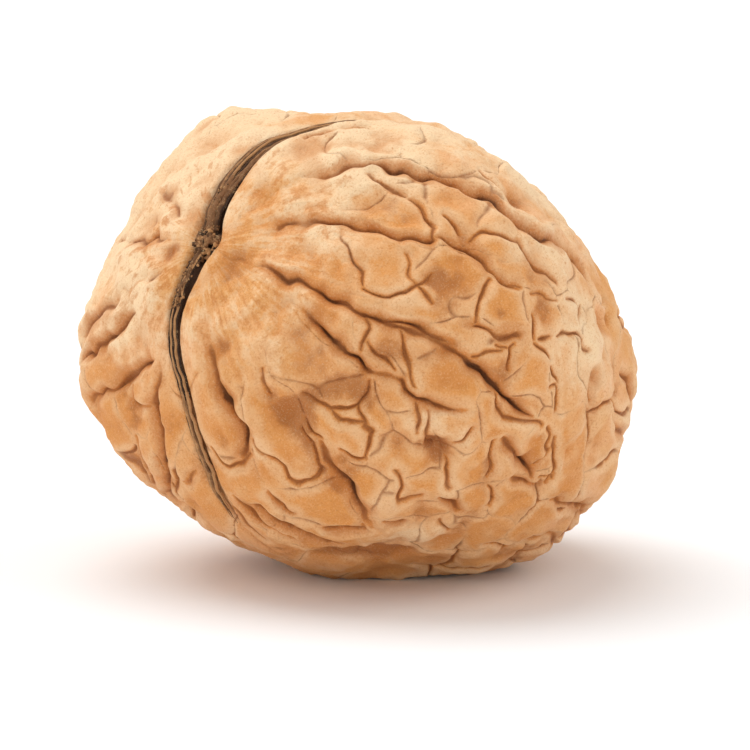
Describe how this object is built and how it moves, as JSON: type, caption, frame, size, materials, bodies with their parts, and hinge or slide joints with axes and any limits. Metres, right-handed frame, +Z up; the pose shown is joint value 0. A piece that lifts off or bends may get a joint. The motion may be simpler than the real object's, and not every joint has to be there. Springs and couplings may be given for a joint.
{
  "type": "walnut",
  "caption": "Whole walnut in its wrinkled shell, lying on its side with the stem end raised and a dark fibre strand in the seam.",
  "frame": {"origin": "near the middle of the flat rest spot under the nut, on the surface it lies on", "axes": "+Z up, +X from the raised stem end towards the tip, +Y towards the far cheek; the seam's plane is nearly the XZ plane"},
  "size_m": [0.0387, 0.0405, 0.0337],
  "materials": {
    "walnut_shell": "dry, matt to faintly waxy golden-tan shell",
    "seam_fibre": "dry, rough dark brown fibre"
  },
  "bodies": {
    "root": {"shell": "walnut_shell", "seam_fibre": "seam_fibre"}
  },
  "joints": []
}
